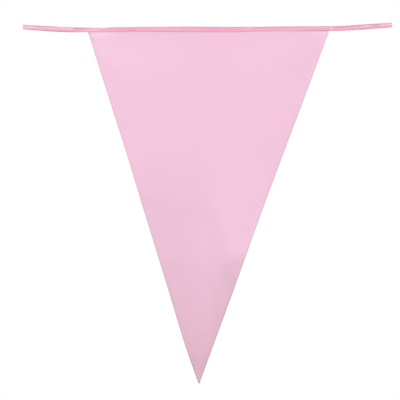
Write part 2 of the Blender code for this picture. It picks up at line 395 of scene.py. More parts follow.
def fold_lift(fold, x, z):
    """How far a fold stands forward: a bell across its line, with its own reach on either side. Its height
    runs from the top lift to the foot lift as share times (2 minus share), so it changes fastest at the top,
    and it dies out as another bell past both ends, which the slant tilts."""
    ends = (fold.top_x, fold.top_z, fold.foot_x, fold.foot_z)
    right, share, past = line_distances(x, z, *ends, fold.slant)
    reach = np.where(right > 0.0, fold.right, fold.left)
    lift = fold.top_lift + (fold.foot_lift - fold.top_lift) * share * (2.0 - share)
    return lift * np.exp(-((right / reach) ** 2) - (past / fold.fade) ** 2)


print("Folds:", ", ".join(FOLDS))

# %% [markdown]
# ## Unevenness
# The rest is smaller. The film steps and puckers where it comes out from under the tape, the cut edges curl
# at the two upper corners and near the tip, they roll a little all the way down, and shallow buckles cross
# the whole sheet. A bump texture could fake this, but only real heights also move the cut edge.

# %% Unevenness
STEP_FORWARD = 0.00012  # under the tape the corners of the film step forward by this much
STEP_BACK = 0.00004  # and its middle steps back
STEP_TOP_Z, STEP_FOOT_Z = -0.0062, -0.0115
STEP_FADE = 0.030  # a step dies out over this drop
STEP_CORNER_FROM, STEP_CORNER_FULL = 0.100, 0.130
PUCKER_DEPTH = 0.00006
PUCKER_PITCH = 0.011
PUCKER_FADE = 0.018
PUCKER_SEED = 11
CURL_Z = -0.016  # just below the tape the left cut edge curls back and the right one forward
CURL_RUN = 0.009
CURL_WIDTH = 0.0026
CURL_LEFT, CURL_RIGHT = -0.0007, 0.0003
LOW_CURL_LEFT, LOW_CURL_RIGHT = -0.0007, -0.0001  # near the tip the left cut edge curls back most
LOW_CURL_WIDTH = 0.0070
LOW_CURL_FROM_Z, LOW_CURL_FULL_Z = -0.290, -0.390
EDGE_ROLL_DEPTH = 0.0002
EDGE_ROLL_WIDTH = 0.0035
EDGE_ROLL_PITCH = 0.055
EDGE_ROLL_BACK = 0.35  # the left edge rolls back more often than forward
EDGE_ROLL_SEED = 12
SIDES_APART = 3.0  # the right side reads the roll's noise this much higher, and the left side lower
BUCKLE_DEPTH = 0.00016
BUCKLE_PITCH = 0.034
BUCKLE_SEED = 13


def unevenness(x, z, edge_distance):
    """Forward height of the small irregularities: a step below the tape that fades by a bell, puckers
    that fade the same way, bells for the curled corners, a bell along each low cut edge, noise that rolls
    the cut edges, and plane noise for the buckles."""
    below = np.maximum(0.0, STEP_TOP_Z - z)
    corner = ramp(np.abs(x), STEP_CORNER_FROM, STEP_CORNER_FULL)
    step = STEP_FORWARD * corner - STEP_BACK * (1.0 - corner)
    step = step * ramp(z, STEP_TOP_Z, STEP_FOOT_Z) * np.exp(-((below / STEP_FADE) ** 2))
    puckers = PUCKER_DEPTH * noise_along(x, PUCKER_PITCH, PUCKER_SEED)
    puckers = puckers * np.exp(-((below / PUCKER_FADE) ** 2))
    curl = np.where(x < 0.0, CURL_LEFT, CURL_RIGHT)
    curled = curl * np.exp(-((edge_distance / CURL_WIDTH) ** 2) - ((z - CURL_Z) / CURL_RUN) ** 2)
    low = np.where(x < TIP_SHIFT, LOW_CURL_LEFT, LOW_CURL_RIGHT)
    low = low * ramp(z, LOW_CURL_FROM_Z, LOW_CURL_FULL_Z)
    curled = curled + low * np.exp(-((edge_distance / LOW_CURL_WIDTH) ** 2))
    roll = noise_along(z + SIDES_APART * np.sign(x), EDGE_ROLL_PITCH, EDGE_ROLL_SEED)
    roll = roll - EDGE_ROLL_BACK * (x < TIP_SHIFT)
    rolled = EDGE_ROLL_DEPTH * roll * np.exp(-((edge_distance / EDGE_ROLL_WIDTH) ** 2))
    buckles = BUCKLE_DEPTH * noise_over(x, z, BUCKLE_PITCH, BUCKLE_SEED)
    return step + puckers + curled + rolled + buckles


print(f"The left cut edge curls back by {-CURL_LEFT * 1000:.1f} mm just below the tape")

# %% [markdown]
# ## Painted light and crease marks
# Where film has been bent sharply it turns milky, and some of these marks stand for that. Most are painted
# light, though. The tape's pale dashes, bright spots and glints and the light patches at the pennant's two
# upper corners are painted highlights. The tape's dark spots and the deep spot at the crease's end are
# painted shade, and the faint pale patches on both sides of the crease are painted light. A painted mask
# could hold them, but it would need an image file. Each is placed as a small bell instead: pale says how
# much lighter it is painted, or how much deeper if it is negative, and lift is how far the film stands
# forward there, so most marks are real bumps or dents as well. On the tape, z is measured from its top edge.

# %% Mark tables
Mark = namedtuple("Mark", "x z reach_x reach_z pale lift")
# pale marks on the tape are painted highlights and glints, and the negative ones painted shade in its dents
# and pinches
TAPE_MARKS = {
    "left_end": Mark(-0.2220, -0.0034, 0.0110, 0.0013, 0.50, 0.00010),
    "left_band": Mark(-0.1940, -0.0028, 0.0160, 0.0014, 0.65, 0.00010),
    "left_tail": Mark(-0.1810, -0.0020, 0.0080, 0.0012, 0.45, 0.00006),
    "left_fleck": Mark(-0.1725, -0.0026, 0.0060, 0.0018, 0.50, 0.00010),
    "left_pinch": Mark(-0.1768, -0.0030, 0.0010, 0.0012, -0.60, -0.00008),
    "left_corner": Mark(-0.1430, -0.0028, 0.0080, 0.0012, 0.85, 0.00010),
    "left_fold_fleck": Mark(-0.1320, -0.0006, 0.0070, 0.0008, 0.70, 0.00000),
    "shaded_dent": Mark(-0.0930, -0.0045, 0.0050, 0.0010, -0.80, -0.00010),
    "dull_stretch": Mark(-0.0520, -0.0036, 0.0300, 0.0022, 0.12, 0.00000),
    "middle_blob": Mark(-0.0085, -0.0038, 0.0060, 0.0011, 0.06, 0.00004),
    "deep_stretch": Mark(0.0160, -0.0034, 0.0220, 0.0018, -0.32, 0.00000),
    "step_blob": Mark(0.0520, -0.0027, 0.0050, 0.0011, 0.40, 0.00008),
    "dull_right": Mark(0.1150, -0.0036, 0.0220, 0.0018, 0.14, 0.00000),
    "right_streak": Mark(0.1400, -0.0026, 0.0100, 0.0007, 0.40, 0.00006),
    "right_pinch": Mark(0.1503, -0.0027, 0.0011, 0.0012, -0.70, -0.00015),
    "right_glint": Mark(0.1532, -0.0028, 0.0011, 0.0008, 1.80, 0.00020),
    "free_spot": Mark(0.1884, -0.0020, 0.0024, 0.0010, -0.90, -0.00010),
    "free_band": Mark(0.1975, -0.0030, 0.0080, 0.0010, 0.85, 0.00012),
    "free_dip": Mark(0.2085, -0.0030, 0.0028, 0.0014, -0.50, -0.00012),
    "free_glint": Mark(0.2170, -0.0029, 0.0034, 0.0008, 0.90, 0.00014),
    "end_band": Mark(0.2262, -0.0026, 0.0032, 0.0009, 0.80, 0.00008),
}
# on the pennant the corner patches, glint and streak are painted highlights, the marks by the crease painted
# light and shade, and the right edge painted shade
PENNANT_MARKS = {
    "left_corner": Mark(-0.1310, -0.0110, 0.0140, 0.0045, 0.45, 0.00012),
    "left_side": Mark(-0.1310, -0.0260, 0.0090, 0.0120, 0.12, 0.00008),
    "left_glint": Mark(-0.1455, -0.0125, 0.0012, 0.0014, 2.00, 0.00020),
    "right_streak": Mark(0.1360, -0.0086, 0.0130, 0.0015, 0.36, 0.00006),
    "right_pale": Mark(0.1445, -0.0078, 0.0018, 0.0013, 0.50, 0.00000),
    "right_edge": Mark(0.1478, -0.0110, 0.0022, 0.0070, -0.60, 0.00000),
    "crease_end": Mark(0.0400, -0.2840, 0.0050, 0.0040, -0.22, 0.00000),
    "panel_painted_light": Mark(0.0260, -0.2400, 0.0340, 0.0420, 0.08, 0.00000),
    "ridge_painted_light": Mark(0.0150, -0.3120, 0.0120, 0.0300, 0.15, 0.00000),
}


def marked(marks, x, z, column):
    """Sum of the marks' bells at a point, each as high as the named column says."""
    return sum(
        getattr(mark, column)
        * np.exp(-(((x - mark.x) / mark.reach_x) ** 2) - ((z - mark.z) / mark.reach_z) ** 2)
        for mark in marks.values()
    )


print(len(TAPE_MARKS), "marks on the tape and", len(PENNANT_MARKS), "on the pennant")

# %% [markdown]
# ## From numbers to a mesh
# A rectangle's grid would crowd all its points at the tip. A triangle has its own even lattice: each row
# has one point fewer than the row above, and between two rows stand small triangles, point up and point
# down in turn. Leaving out the last row or two makes the tip blunt, as the knife leaves it. The tape is a
# rectangle before it is folded, so a plain grid suits it.

# %% Lattice and grid
def triangle_lattice(rows, left_out):
    """(across, down) of each lattice point, and the small triangles between them. Row r has rows + 1 - r
    points, and the corners (r, c), (r + 1, c), (r, c + 1) make one triangle. The last left_out rows are
    missing."""
    row, column = np.meshgrid(np.arange(rows + 1 - left_out), np.arange(rows + 1), indexing="ij")
    inside = row + column <= rows
    number = np.cumsum(inside.ravel()).reshape(inside.shape) - 1
    down = row[inside] / rows
    across = 2.0 * column[inside] / (rows - row[inside]) - 1.0
    here, right, below, across_below = number[:-1, :-1], number[:-1, 1:], number[1:, :-1], number[1:, 1:]
    upper = (row + column)[:-1, :-1] < rows
    lower = (row + column)[:-1, :-1] < rows - 1
    first = np.column_stack([here[upper], below[upper], right[upper]])
    second = np.column_stack([right[lower], below[lower], across_below[lower]])
    return across, down, np.concatenate([first, second])


def grid(columns, rows):
    """(along, around) of each point of a grid from 0 to 1, and the squares between its points."""
    along, around = np.meshgrid(
        np.linspace(0.0, 1.0, columns + 1), np.linspace(0.0, 1.0, rows + 1), indexing="ij"
    )
    number = np.arange(along.size).reshape(along.shape)
    squares = np.stack([number[:-1, :-1], number[1:, :-1], number[1:, 1:], number[:-1, 1:]], axis=-1)
    return along.ravel(), around.ravel(), squares.reshape(-1, 4)


print("A lattice of 3 rows without its last has", len(triangle_lattice(3, 1)[2]), "triangles")

# %% [markdown]
# The points and faces become a surface without thickness. You could move a copy of it aside and close the
# rim by hand, but the Solidify modifier does both. The rim is made sharp afterwards, so that the smooth
# shading doesn't bleed round the cut edge.

# %% Sheet builder
SHARP_EDGE = np.radians(50.0)


def build_sheet(name, points, faces, thickness, flat, marks):
    """A closed sheet round the surface. flat becomes its UV map, in metres on the cut film, and marks are
    named values at each point, kept as attributes."""
    mesh = bpy.data.meshes.new(name + "_surface")
    mesh.from_pydata(points.tolist(), [], faces.tolist())
    corner_points = np.empty(len(mesh.loops), dtype=np.int32)
    mesh.loops.foreach_get("vertex_index", corner_points)
    mesh.uv_layers.new(name="flat_film").data.foreach_set("uv", flat[corner_points].ravel())
    for mark, values in marks.items():
        mesh.attributes.new(mark, "FLOAT", "POINT").data.foreach_set("value", values)
    mesh.shade_smooth()
    surface = bpy.data.objects.new(name + "_surface", mesh)
    bpy.context.scene.collection.objects.link(surface)
    wall = surface.modifiers.new("thickness", "SOLIDIFY")
    wall.thickness = thickness
    wall.offset = 0.0
    evaluated = surface.evaluated_get(bpy.context.evaluated_depsgraph_get())
    finished = bpy.data.meshes.new_from_object(evaluated)
    finished.name = name
    finished.set_sharp_from_angle(angle=SHARP_EDGE)
    bpy.data.objects.remove(surface)
    sheet = bpy.data.objects.new(name, finished)
    bpy.context.scene.collection.objects.link(sheet)
    return sheet


print(f"Edges sharper than {np.degrees(SHARP_EDGE):.0f} degrees will look sharp")

# %% [markdown]
# ## The pennant
# The film is about 0.06 mm thick. The mesh is 0.15 mm, so that its cut edge still has a face to catch the
# light. The flaps of the tape press the film flat, so its folds and its unevenness begin just below them.
# Four values are stored at each point for the material: the distance to the cut edge, which places a greyer
# painted shade along the rim; the marks of painted highlights, painted shade and creases; the curled left
# corner, whose shaded side is painted grey; and how far down the leaning film is, where a warmer, slightly
# darker pink is painted as shade. You could paint these by hand, but worked out from the same formulas as
# the shape they always fit it.

# %% Pennant mesh
PENNANT_ROWS = 240
BLUNT_ROWS = 1  # left out at the tip
PENNANT_THICKNESS = 0.00015
BELLY = 0.0008  # halfway down, the sheet stands forward by this much
SIDE_ROLL = 0.0004  # and its two sides lie back by this much
FREE_FROM_Z, FREE_FULL_Z = -0.008, -0.050  # the folds come in between these heights
WAVE_REACH = 0.110  # the tape's waves die out over this drop
HELD_TO = -0.0052  # down to here, below the fold, the flaps press the film flat
RELEASED_FROM = -0.0090  # and from here its small unevenness is free
CURL_SHADE_WIDTH = 0.0022
# between these heights the leaning film is painted a warmer, slightly darker pink, as painted shade
LEAN_SHADE_FROM_Z, LEAN_SHADE_FULL_Z = -0.240, -0.400

across, down, pennant_faces = triangle_lattice(PENNANT_ROWS, BLUNT_ROWS)
pennant_x, pennant_z = pennant_outline(across, down)
edge_distance = PENNANT_WIDTH / 2.0 * (1.0 - down) * (1.0 - np.abs(across))
arch = 4.0 * down * (1.0 - down)
waves = tape_depth(across * PENNANT_WIDTH / 2.0) * np.exp(-((down * PENNANT_DROP / WAVE_REACH) ** 2))
hang = SIDE_ROLL * across**2 * arch - BELLY * arch + lean(pennant_x, pennant_z)
lifts = sum(fold_lift(fold, pennant_x, pennant_z) for fold in FOLDS.values())
free = ramp(pennant_z, FREE_FROM_Z, FREE_FULL_Z)
# the curled left corner's shaded side, which the material paints grey as painted shade
curl_bell = np.exp(-((edge_distance / CURL_SHADE_WIDTH) ** 2) - ((pennant_z - CURL_Z) / CURL_RUN) ** 2)
released = ramp(pennant_z - along_tape(pennant_x, "top"), HELD_TO, RELEASED_FROM)
small_lifts = unevenness(pennant_x, pennant_z, edge_distance)
small_lifts = small_lifts + marked(PENNANT_MARKS, pennant_x, pennant_z, "lift")
pennant_y = waves + (hang - lifts) * free - small_lifts * released
pennant = build_sheet(
    "film_pennant",
    np.column_stack([pennant_x, pennant_y, pennant_z]),
    pennant_faces,
    PENNANT_THICKNESS,
    np.column_stack([pennant_x, pennant_z]),
    {
        "edge_distance": edge_distance,
        # pale and deep marks: painted highlights and painted shade, with some whitened bends
        "painted_light_and_crease_marks": marked(PENNANT_MARKS, pennant_x, pennant_z, "pale"),
        "curl_shade": curl_bell * (pennant_x < 0.0),
        # how far down the leaning film is, which sets its painted shade
        "lean_share": ramp(pennant_z, LEAN_SHADE_FROM_Z, LEAN_SHADE_FULL_Z),
    },
)
print("The pennant has", len(pennant.data.polygons), "faces")

# %% [markdown]
# ## The folded tape
# The strip is 12.5 mm wide and folded lengthwise. Seen end on it is a narrow hairpin: the front flap, a
# round fold, and the back flap. The flaps bulge a little, because film springs back from a fold, and they
# gape at the two cut ends, where nothing holds them. Over the pennant a pressed seal line runs along the
# middle of both flaps. A simulated fold would need very fine cells. A formula for one flap's distance from
# the tape's middle plane needs none, and it serves the front flap and the back flap alike.

# %% Flap profile
TAPE_THICKNESS = 0.00010
FOLD_RADIUS = 0.00040
SNUG = 0.00003  # air between the pennant and a flap where it lies close
BULGE = 0.00018
BULGE_CHANGE = 0.00009
BULGE_PITCH = 0.048
GAPE_HELD = 0.00006  # how far a flap's edge lifts over the pennant
GAPE_PITCH = 0.037
GAPE_END = 0.00050  # and at the two free ends
GAPE_END_RUN = 0.022
RIPPLE = 0.00005
RIPPLE_PITCH = 0.0045
RIPPLES_PER_FLAP = 4.0
SEAL_HEIGHT = 0.46  # share of the flap's height
SEAL_HALF_WIDTH = 0.055  # a share of it too
SEAL_DEPTH = 0.00010
CORNER_SOFTNESS = 0.006


def beyond_pennant(x):
    """0 over the pennant and 1 past its corners."""
    return ramp(np.abs(x) - PENNANT_WIDTH / 2.0, 0.0, CORNER_SOFTNESS)


def flap_depth(x, height, seed):
    """Distance of a flap from the tape's middle plane at a share of its height, from 0 at its cut edge to
    1 at the fold: a straight line between the two ends' distances, plus half a sine that carries the bulge
    and the ripples, minus a bell for the seal line."""
    loose = beyond_pennant(x)
    closest = (TAPE_THICKNESS + PENNANT_THICKNESS * (1.0 - loose)) / 2.0 + SNUG
    to_end = np.minimum(x - TAPE_LEFT, TAPE_RIGHT - x)
    gape = GAPE_HELD * np.maximum(0.0, noise_along(x, GAPE_PITCH, seed)) * (1.0 - loose)
    gape = gape + GAPE_END * (1.0 - ramp(to_end, 0.0, GAPE_END_RUN))
    bulge = BULGE + BULGE_CHANGE * noise_along(x, BULGE_PITCH, seed + 1)
    ripple = RIPPLE * noise_over(x, height * RIPPLE_PITCH * RIPPLES_PER_FLAP, RIPPLE_PITCH, seed + 2)
    seal = SEAL_DEPTH * (1.0 - loose) * np.exp(-(((height - SEAL_HEIGHT) / SEAL_HALF_WIDTH) ** 2))
    ends = (closest + gape) * (1.0 - height) + FOLD_RADIUS * height
    return ends + (bulge + ripple) * np.sin(np.pi * height) - seal


print(f"At its two cut ends the tape gapes {2.0 * (SNUG + GAPE_END) * 1000:.1f} mm wide")

# %% [markdown]
# The profile is carried along the tape's line on a grid, whose forty rows go up the front flap, round the
# fold and down the back flap. Past the pennant's corners nothing holds the strip, so it twists. The twist,
# together with painted highlights and painted shade, gives the bright and dark dashes there. Four values are
# stored for its material too: the distances to the nearest cut edge and to the fold, where painted shade
# darkens it; how far inside the pennant's side a point lies; and the marks of painted highlights, painted
# shade and creases.

# %% Tape mesh
TAPE_COLUMNS = 460
TAPE_ROWS = 40
FLAP_SHARE = 0.40  # of the rows, for each flap; the rest go round the fold
TWIST_FREE = 0.030  # slope of the flaps where the free ends twist
TWIST_AT_CORNER = 0.020  # and where the twist begins, past the pennant's corners
TWIST_PITCH = 0.017
# past the corners the painted shade along the fold and the cut edges is drawn wider
FREE_LINE_SHARE = 0.70  # past the corners, stored distances shrink to this share, so lines look wider
SIDE_SLOPE = 0.33  # each side of the pennant moves in by this much for each unit down
FRONT_FLAP_SEED, BACK_FLAP_SEED, TWIST_SEED = 21, 31, 41

along, around, tape_faces = grid(TAPE_COLUMNS, TAPE_ROWS)
tape_x = TAPE_LEFT + along * (TAPE_RIGHT - TAPE_LEFT)
tape_top = along_tape(tape_x, "top")
spring = tape_top - TAPE_THICKNESS / 2.0 - FOLD_RADIUS
front_height = np.clip(around / FLAP_SHARE, 0.0, 1.0)
back_height = np.clip((1.0 - around) / FLAP_SHARE, 0.0, 1.0)
turn = np.pi * np.clip((around - FLAP_SHARE) / (1.0 - 2.0 * FLAP_SHARE), 0.0, 1.0)
front_drop = (1.0 - front_height) * (spring - tape_top + along_tape(tape_x, "front"))
back_drop = (1.0 - back_height) * (spring - tape_top + along_tape(tape_x, "back"))
tape_z = spring + FOLD_RADIUS * np.sin(turn) - front_drop - back_drop
front_depth = -flap_depth(tape_x, front_height, FRONT_FLAP_SEED)
back_depth = flap_depth(tape_x, back_height, BACK_FLAP_SEED)
past_front = np.where(around > 1.0 - FLAP_SHARE, back_depth, -FOLD_RADIUS * np.cos(turn))
across_fold = np.where(around < FLAP_SHARE, front_depth, past_front)
free_end = beyond_pennant(tape_x)
twist = free_end * (TWIST_AT_CORNER + (TWIST_FREE - TWIST_AT_CORNER) * free_end)
twisted = twist * noise_along(tape_x, TWIST_PITCH, TWIST_SEED) * (tape_z - tape_top + FOLD_RADIUS)
mark_lift = marked(TAPE_MARKS, tape_x, tape_z - tape_top, "lift")
tape_y = tape_depth(tape_x) + across_fold + twisted - mark_lift * (around < FLAP_SHARE)
strip_width = along_tape(tape_x, "front") + along_tape(tape_x, "back")
narrowing = 1.0 - (1.0 - FREE_LINE_SHARE) * free_end
tape = build_sheet(
    "film_header_tape",
    np.column_stack([tape_x, tape_y, tape_z]),
    tape_faces,
    TAPE_THICKNESS,
    np.column_stack([around * strip_width, tape_x]),
    {
        "edge_distance": np.minimum(front_height, back_height) * strip_width / 2.0 * narrowing,
        "fold_distance": (tape_top - tape_z) * narrowing,
        "pennant_inside": PENNANT_WIDTH / 2.0 - np.abs(tape_x) + (tape_z - tape_top) * SIDE_SLOPE,
        # pale and deep marks: painted highlights and painted shade, with some whitened bends
        "painted_light_and_crease_marks": marked(TAPE_MARKS, tape_x, tape_z - tape_top, "pale"),
    },
)
print("The tape has", len(tape.data.polygons), "faces")

# %% [markdown]
# ## Helpers for shader nodes
# The film's colour and gloss come from small trees of shader nodes. You could place the nodes by hand in the
# Shader Editor, but it is hard to see there what a long tree works out. Written down as nested calls it
# reads like a sum. The last three helpers each add one node, set or feed its sockets, and give its output.

# %% Node helpers
def new_group(name, inputs, outputs):
    """A shader node group with sockets given as (name, type, default), and its input and output nodes."""
    group = bpy.data.node_groups.new(name, "ShaderNodeTree")
    for socket, kind, value in inputs:
        made = group.interface.new_socket(socket, in_out="INPUT", socket_type=kind)
        if value is not None:
            made.default_value = value
    for socket, kind in outputs:
        group.interface.new_socket(socket, in_out="OUTPUT", socket_type=kind)
    return group, group.nodes.new("NodeGroupInput"), group.nodes.new("NodeGroupOutput")


def feed(tree, socket, value):
    """Link the value to the socket if the value is a socket too, or else set it."""
    if isinstance(value, bpy.types.NodeSocket):
        tree.links.new(value, socket)
    else:
        socket.default_value = value


def maths(tree, operation, *values):
    """A Math node's output. Each value is a number or the socket that feeds it."""
    node = tree.nodes.new("ShaderNodeMath")
    node.operation = operation
    for socket, value in zip(node.inputs, values):
        feed(tree, socket, value)
    return node.outputs[0]


def mix_colours(tree, share, first, second):
    """first where share is 0 and second where it is 1. A colour is a tuple or a socket. On a Mix node for
    colours, input 0 is the factor, 6 and 7 are the two colours, and output 2 is the result."""
    node = tree.nodes.new("ShaderNodeMix")
    node.data_type = "RGBA"
    feed(tree, node.inputs[0], share)
    feed(tree, node.inputs[6], first)
    feed(tree, node.inputs[7], second)
    return node.outputs[2]


def noise_texture(tree, vector, detail, roughness):
    """A noise texture's value over a vector that is already in its own units."""
    node = tree.nodes.new("ShaderNodeTexNoise")
    node.inputs["Scale"].default_value = 1.0
    node.inputs["Detail"].default_value = detail
    node.inputs["Roughness"].default_value = roughness
    tree.links.new(vector, node.inputs["Vector"])
    return node.outputs["Fac"]


print("There are helpers for groups, sums, mixed colours and noise")

# %% [markdown]
# ## What film looks like
# Blown film isn't one flat colour. Faint lines run along it from the lips of the die, soft cloudy patches
# show where it is a little thicker, and tiny dents scatter its gloss. Both pieces share these, so they are
# one node group that each material uses with its own sizes. The group reads the flat film's coordinates,
# so the lines follow each piece as it was cut, down the pennant and along the tape.

# %% Film surface group
LINE_DETAIL, LINE_ROUGHNESS, LINE_RELIEF = 2.0, 0.60, 0.50
CLOUD_DETAIL, CLOUD_ROUGHNESS, CLOUD_RELIEF = 2.0, 0.50, 0.15
DENT_DETAIL, DENT_ROUGHNESS, DENT_RELIEF = 3.0, 0.55, 0.35


def film_surface_group():
    """Lines: noise that is stretched along the film. Clouds: broad noise. Height: the sum of lines, clouds
    and fine dents, each times its relief."""
    group, given, made = new_group(
        "film_surface",
        [
            ("Vector", "NodeSocketVector", None),
            ("Line Pitch", "NodeSocketFloat", 0.002),
            ("Line Stretch", "NodeSocketFloat", 60.0),
            ("Cloud Size", "NodeSocketFloat", 0.03),
            ("Dent Size", "NodeSocketFloat", 0.004),
        ],
        [("Lines", "NodeSocketFloat"), ("Clouds", "NodeSocketFloat"), ("Height", "NodeSocketFloat")],
    )
    parts = group.nodes.new("ShaderNodeSeparateXYZ")
    group.links.new(given.outputs["Vector"], parts.inputs[0])
    sideways, lengthwise = parts.outputs["X"], parts.outputs["Y"]

    def scaled(size_x, size_y):
        """The flat film's coordinates, with one unit for each size."""
        place = group.nodes.new("ShaderNodeCombineXYZ")
        group.links.new(maths(group, "DIVIDE", sideways, size_x), place.inputs["X"])
        group.links.new(maths(group, "DIVIDE", lengthwise, size_y), place.inputs["Y"])
        return place.outputs[0]

    pitch = given.outputs["Line Pitch"]
    run = maths(group, "MULTIPLY", pitch, given.outputs["Line Stretch"])
    cloud, dent = given.outputs["Cloud Size"], given.outputs["Dent Size"]
    lines = noise_texture(group, scaled(pitch, run), LINE_DETAIL, LINE_ROUGHNESS)
    clouds = noise_texture(group, scaled(cloud, cloud), CLOUD_DETAIL, CLOUD_ROUGHNESS)
    dents = noise_texture(group, scaled(dent, dent), DENT_DETAIL, DENT_ROUGHNESS)
    line_part = maths(group, "MULTIPLY", lines, LINE_RELIEF)
    dent_part = maths(group, "MULTIPLY_ADD", dents, DENT_RELIEF, line_part)
    height = maths(group, "MULTIPLY_ADD", clouds, CLOUD_RELIEF, dent_part)
    group.links.new(lines, made.inputs["Lines"])
    group.links.new(clouds, made.inputs["Clouds"])
    group.links.new(height, made.inputs["Height"])
    return group


film_surface = film_surface_group()
print("Film surface group:", ", ".join(socket.name for socket in film_surface.interface.items_tree))

# %% [markdown]
# A second group answers one question for both pieces: how close is this point to a line, such as a cut
# edge or a fold? It turns a stored distance in metres into a mask that is 1 on the line and 0 away from it.
# A colour ramp would do the same, but its stops can't be driven by a width in metres.

# %% Near line group
def near_line_group():
    """Mask: 1 at distance 0, falling smoothly to 0 at Width."""
    group, given, made = new_group(
        "near_line",
        [("Distance", "NodeSocketFloat", 0.0), ("Width", "NodeSocketFloat", 0.001)],
        [("Mask", "NodeSocketFloat")],
    )
    fall = group.nodes.new("ShaderNodeMapRange")
    fall.interpolation_type = "SMOOTHSTEP"
    group.links.new(given.outputs["Distance"], fall.inputs["Value"])
    group.links.new(given.outputs["Width"], fall.inputs["From Max"])
    fall.inputs["To Min"].default_value = 1.0
    fall.inputs["To Max"].default_value = 0.0
    group.links.new(fall.outputs["Result"], made.inputs["Mask"])
    return group


near_line = near_line_group()
print("Near line group:", ", ".join(socket.name for socket in near_line.interface.items_tree))

# %% [markdown]
# A third group turns the marks into colour. Where the value is above 0 it goes towards a paler pink, which
# paints highlights and the whitened film of bends. Where the value is below 0 it goes towards a deeper pink,
# which paints shade. One signed value does for both, so each mark needs only one number.

# %% Crease haze group
def clamped(tree, value):
    """A value kept between 0 and 1."""
    return maths(tree, "MINIMUM", maths(tree, "MAXIMUM", value, 0.0), 1.0)


def painted_light_and_crease_colour_group():
    """Color: the given colour, paled by the marks towards the highlight colour and deepened by minus them
    towards the deep colour, as painted shade.
    """
    group, given, made = new_group(
        "painted_light_and_crease_colour",
        [
            ("Color", "NodeSocketColor", None),
            ("Painted Light And Creases", "NodeSocketFloat", 0.0),
            ("Highlight And Milky", "NodeSocketColor", None),
            ("Deep", "NodeSocketColor", None),
        ],
        [("Color", "NodeSocketColor")],
    )
    painted_light_and_crease_marks = given.outputs["Painted Light And Creases"]
    highlight_and_milky = mix_colours(group, clamped(group, painted_light_and_crease_marks), given.outputs["Color"], given.outputs["Highlight And Milky"])
    deep_share = clamped(group, maths(group, "MULTIPLY", painted_light_and_crease_marks, -1.0))
    group.links.new(mix_colours(group, deep_share, highlight_and_milky, given.outputs["Deep"]), made.inputs["Color"])
    return group


painted_light_and_crease_colour = painted_light_and_crease_colour_group()
print("Crease haze group:", ", ".join(socket.name for socket in painted_light_and_crease_colour.interface.items_tree))

# %% [markdown]
# ## Film materials
# Each material starts from its own pink and changes it step by step. Most steps take their place from a
# value that is stored at the mesh's points. You could paint the changes on an image instead, but the stored
# values came with the shape, so a line one or two millimetres wide stays exactly on its edge.

# %% Material helpers
def place_group(tree, group, values):
    """A group node with its inputs set to numbers or fed by sockets."""
    node = tree.nodes.new("ShaderNodeGroup")
    node.node_tree = group
    for name, value in values.items():
        feed(tree, node.inputs[name], value)
    return node


def stored(tree, name):
    """A value stored at the mesh's points."""
    node = tree.nodes.new("ShaderNodeAttribute")
    node.attribute_name = name
    return node.outputs["Fac"]


def near(tree, distance, width, colour, line_colour):
    """The colour, turned into line_colour where the stored distance to a line is small."""
    line = place_group(tree, near_line, {"Distance": stored(tree, distance), "Width": width})
    return mix_colours(tree, line.outputs["Mask"], colour, line_colour)


def with_painted_light_and_creases(tree, colour, highlight_and_milky, deep):
    """The colour with the piece's marks of painted highlights, painted shade and creases."""
    values = {"Color": colour, "Painted Light And Creases": stored(tree, "painted_light_and_crease_marks"), "Highlight And Milky": highlight_and_milky, "Deep": deep}
    return place_group(tree, painted_light_and_crease_colour, values).outputs["Color"]


print("There are helpers for stored values, lines and crease marks")

# %% [markdown]
# Thin coloured film does two things with light. Part of it is scattered back, with a satin gloss on top:
# that is the Principled shader. Part of it comes through from behind: that is a Translucent shader, in one
# plain pink, because light that has crossed the film is mixed evenly. The two together are truer to film
# than glass-like transmission, because milky film never shows a sharp picture of what is behind it.

# %% Film material
def film_material(name, through, through_pink, relief, looks):
    """Principled and Translucent film. through is the share of light that comes through, through_pink is its
    colour, and relief is the height of the fine dents. looks(tree, flat_film) gives the sockets for the
    colour, the roughness and the dents from the tree and the flat film's coordinates."""
    material = bpy.data.materials.new(name)
    material.use_nodes = True
    tree = material.node_tree
    shader = tree.nodes["Principled BSDF"]
    flat_film = tree.nodes.new("ShaderNodeUVMap")
    flat_film.uv_map = "flat_film"
    colour, roughness, height = looks(tree, flat_film.outputs["UV"])
    bump = tree.nodes.new("ShaderNodeBump")
    bump.inputs["Strength"].default_value = 1.0
    bump.inputs["Distance"].default_value = relief
    tree.links.new(height, bump.inputs["Height"])
    behind = tree.nodes.new("ShaderNodeBsdfTranslucent")
    behind.inputs["Color"].default_value = through_pink
    both = tree.nodes.new("ShaderNodeMixShader")
    both.inputs["Fac"].default_value = through
    tree.links.new(colour, shader.inputs["Base Color"])
    tree.links.new(roughness, shader.inputs["Roughness"])
    tree.links.new(bump.outputs["Normal"], shader.inputs["Normal"])
    tree.links.new(shader.outputs[0], both.inputs[1])
    tree.links.new(behind.outputs[0], both.inputs[2])
    tree.links.new(both.outputs[0], tree.nodes["Material Output"].inputs["Surface"])
    return material


def dress(piece, material):
    """The piece gets this one material."""
    piece.data.materials.clear()
    piece.data.materials.append(material)
    print(piece.name, "is made of", material.name)


print("Each film material will mix a Principled and a Translucent shader")

# %% [markdown]
# The pennant is a single layer, so it is the palest. Its die lines run down it as faint upright bands. Low
# down, where it leans back, a warmer, slightly darker pink is painted as shade, and the painted shade along
# the cut edges is darker there too. The colour is mixed step by step, from the whole sheet to the rim, so
# that each step can be looked at by itself.

# %% Pennant material
PENNANT_PINK = (0.880, 0.606, 0.745, 1.0)
PENNANT_THICK_PINK = (0.868, 0.571, 0.721, 1.0)
# painted shade: a warmer, slightly darker pink where the film leans back low down
PENNANT_LEAN_SHADE_PINK = (0.890, 0.590, 0.712, 1.0)
PENNANT_THROUGH_PINK = (0.877, 0.589, 0.732, 1.0)
